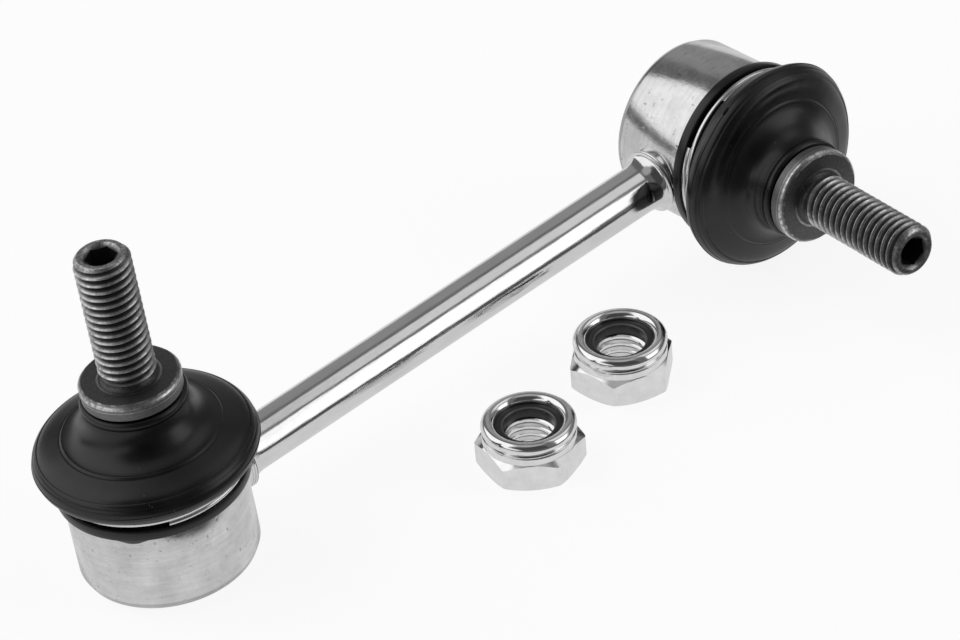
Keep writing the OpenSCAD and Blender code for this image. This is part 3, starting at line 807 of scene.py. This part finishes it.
def pull_rim(piece, angle, move, passes=(75, 66, 57, 48, 39, 30)):
    """Moves one side of the rim, a little more in each narrower pass, and the rubber near it follows."""
    only(piece)
    start = [v.co.copy() for v in piece.data.vertices]
    for reach in passes:
        bpy.ops.object.mode_set(mode="EDIT")
        bpy.ops.mesh.select_mode(type="VERT")
        bpy.ops.mesh.select_all(action="DESELECT")
        bpy.ops.object.mode_set(mode="OBJECT")
        for vertex, at in zip(piece.data.vertices, start):
            on_rim = at.xy.length > 17 and 12 < at.z < CREASE + 0.001
            vertex.select = on_rim and near_angle(at, angle, reach)
        bpy.ops.object.mode_set(mode="EDIT")
        bpy.ops.transform.translate(
            value=move / len(passes), use_proportional_edit=True,
            proportional_edit_falloff="SMOOTH", proportional_size=3.6,
        )
        bpy.ops.object.mode_set(mode="OBJECT")
    moved = max((v.co - at).length for v, at in zip(piece.data.vertices, start))
    print(piece.name, "moved by up to", round(moved, 2), "mm")


def on_tab(point):
    return abs(point.z - FLANGE_LOW) < 0.01 and point.xy.length > 16 and near_angle(point, TAB_ANGLE, 11.5)


print("boot helpers:", lean_over.__name__, pull_faces.__name__, pull_rim.__name__)

# %% Boots
for side in ("left", "right"):
    place = end_place(side)
    parts = (
        (side + "_boot_rim", lower_outline, "link", side + "_boot", BEND_LOW, CREASE),
        (side + "_boot_flare", upper_outline, side + "_boot", side + "_neck_ring", CREASE, LIP),
    )
    for name, outline, from_body, to_body, low, high in parts:
        boot = turn(name, outline, 160)
        if outline is lower_outline:
            pull_faces(boot, on_tab, (0, 0, -0.95), 0.3)
            for angle in VENT_ANGLES:
                out = (VENT_RISE * math.cos(math.radians(angle)), VENT_RISE * math.sin(math.radians(angle)), 0)
                pull_faces(
                    boot, lambda p: abs(p.z - RIM[1]) < 0.02 and p.xy.length > 19 and near_angle(p, angle, 2.4), out,
                )
        elif side == "right":
            lean_over(boot, LEAN, CREASE + 0.1, LEAN_TOP)
        if side == "right":
            up = place.to_3x3().transposed() @ (Vector((0, 0, 1)) + Vector((-0.3, 0, 0)))
            inwards = -Vector((up.x, up.y, 0)).normalized()
            pull_rim(boot, math.degrees(math.atan2(up.y, up.x)), RIM_PRESS * inwards + Vector((0, 0, RIM_PULL)))
        settle(boot, place, black_rubber, 40)
        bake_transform(boot)
        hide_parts(side + "_boot")
        print(boot.name, len(boot.data.polygons), "faces")

# %% [markdown]
# ## Clamp rings
# A flat wire goes nearly twice round the boot above its flange and clamps it into the housing's groove. It climbs by
# its own height in each turn, so a Screw modifier sweeps a small rounded rectangle, and the two open ends are filled.

# %% Clamp rings
WIRE_TURNS = 1.9
WIRE_RISE = 0.93
wire_outline = [
    (15.7, 8.4), (15.85, 8.25), (16.62, 8.25), (16.8, 8.43),
    (16.8, 8.95), (16.62, 9.12), (15.85, 9.12), (15.7, 8.97), (15.7, 8.4),
]
for side, lower_end in (("left", 242), ("right", 145.5)):
    wire = draw_outline(side + "_clamp_wire", wire_outline)
    bpy.ops.mesh.remove_doubles(threshold=0.0005)
    bpy.ops.object.mode_set(mode="OBJECT")
    only(wire)
    coil = wire.modifiers.new("coil", "SCREW")
    coil.steps = coil.render_steps = 300
    coil.angle = 2 * math.pi * WIRE_TURNS
    coil.screw_offset = WIRE_RISE * WIRE_TURNS
    bpy.ops.object.modifier_apply(modifier=coil.name)
    bpy.ops.object.mode_set(mode="EDIT")
    bpy.ops.mesh.select_mode(type="EDGE")
    bpy.ops.mesh.select_all(action="DESELECT")
    bpy.ops.mesh.select_non_manifold(
        extend=False, use_boundary=True, use_wire=False, use_multi_face=False,
        use_non_contiguous=False, use_verts=False,
    )
    bpy.ops.mesh.edge_face_add()
    bpy.ops.mesh.select_all(action="SELECT")
    bpy.ops.mesh.normals_make_consistent(inside=False)
    bpy.ops.object.mode_set(mode="OBJECT")
    settle(wire, end_place(side) @ Matrix.Rotation(math.radians(lower_end), 4, "Z"), spring_wire, 50)
    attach(wire, "link")
    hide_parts(side + "_clamp_ring")
    print(wire.name, len(wire.data.polygons), "faces")

# %% [markdown]
# ## Nuts
# A lock nut is a hexagon with turned chamfers and a round crown, whose rim is rolled over a nylon ring. The hexagon
# is a cylinder of six sides. Turned pieces trim its corners and cut the hole, and a thread of its own cuts the hole's
# thread. The nut is made once and copied.

# %% Outlines of a nut
NUT_FLATS = 17
NUT_HEX_H = 5.7
NUT_CORNER = NUT_FLATS / 2 / math.cos(math.pi / 6)
NUT_FACE_R = 8.1
NUT_DROP = (NUT_CORNER - NUT_FACE_R) * math.tan(math.radians(30))
BEAD = (7.2, 8.35)
chamfers = [
    (0, 0), (NUT_FACE_R, 0), (NUT_CORNER + 0.1, NUT_DROP),
    (NUT_CORNER + 0.1, NUT_HEX_H - NUT_DROP), (NUT_FACE_R, NUT_HEX_H), (0, NUT_HEX_H),
]
crown_wall = [(2, 3), (8.35, 3), (8.35, 6.7), (8.27, 6.9), (8.05, 7.0), (7.5, 7.02)]
crown = crown_wall + arc(BEAD, 1.25, -68, 180, 28) + [(5.95, 7.0), (2, 7.0), (2, 3)]
hole = [
    (0, -1), (5.4, -1), (5.4, 0.0), (4.25, 1.1), (4.25, 6.05),
    (6.5, 6.05), (6.5, 8.2), (5.95, 8.35), (5.95, 10), (0, 10),
]
insert_outline = [(4.55, 6.15), (6.45, 6.15), (6.45, 8.1), (5.9, 8.25), (4.82, 8.25), (4.55, 8.0), (4.55, 6.15)]
print("nut across corners in mm:", round(2 * NUT_CORNER, 2))

# %% Nuts
bpy.ops.object.select_all(action="DESELECT")
bpy.ops.mesh.primitive_cylinder_add(
    vertices=6, radius=NUT_CORNER, depth=NUT_HEX_H, location=(0, 0, NUT_HEX_H / 2), rotation=(0, 0, math.radians(30)),
)
nut = bpy.context.object
bpy.ops.object.transform_apply(location=True, rotation=True, scale=True)
soften(nut, 0.4, 3, 50)
combine(nut, turn("chamfers", chamfers, 120), "INTERSECT")
combine(nut, turn("crown", crown, 120), "UNION")
combine(nut, turn("hole", hole, 96), "DIFFERENCE")
combine(nut, thread("hole_thread", 5.05, 4.1, -0.6, 6.4, 60), "DIFFERENCE")
insert = turn("nut_ring", insert_outline, 96)
soften(insert, 0.06)
for name, turned in (("near_nut", 19), ("far_nut", 39)):
    low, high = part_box(name)
    middle = Matrix.Translation(((low.x + high.x) / 2, (low.y + high.y) / 2, 0))
    place = middle @ Matrix.Rotation(math.radians(turned), 4, "Z") @ Matrix.Scale(0.001, 4)
    for model, part, node, finish, slot in (
        (nut, "_dressed", name, nut_zinc, "zinc_nut"),
        (insert, "_lock_ring", name + "_insert", black_nylon, "nut_nylon"),
    ):
        piece = model.copy()
        piece.data = model.data.copy()
        scene.collection.objects.link(piece)
        piece.name = name + part
        settle(piece, place, finish, 30)
        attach(piece, name)
        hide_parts(node)
        print(piece.name, len(piece.data.polygons), "faces")
for model in (nut, insert):
    bpy.data.objects.remove(model)

# %% [markdown]
# ## Size of the dressed link
# The box around all shown pieces is printed in millimetres. The dressed link has to keep to the box of
# the imported model, apart from a fraction of a millimetre.

# %% Size of the dressed link
low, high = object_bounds()
print("dressed box in mm:", [round(1000 * side, 1) for side in high - low])
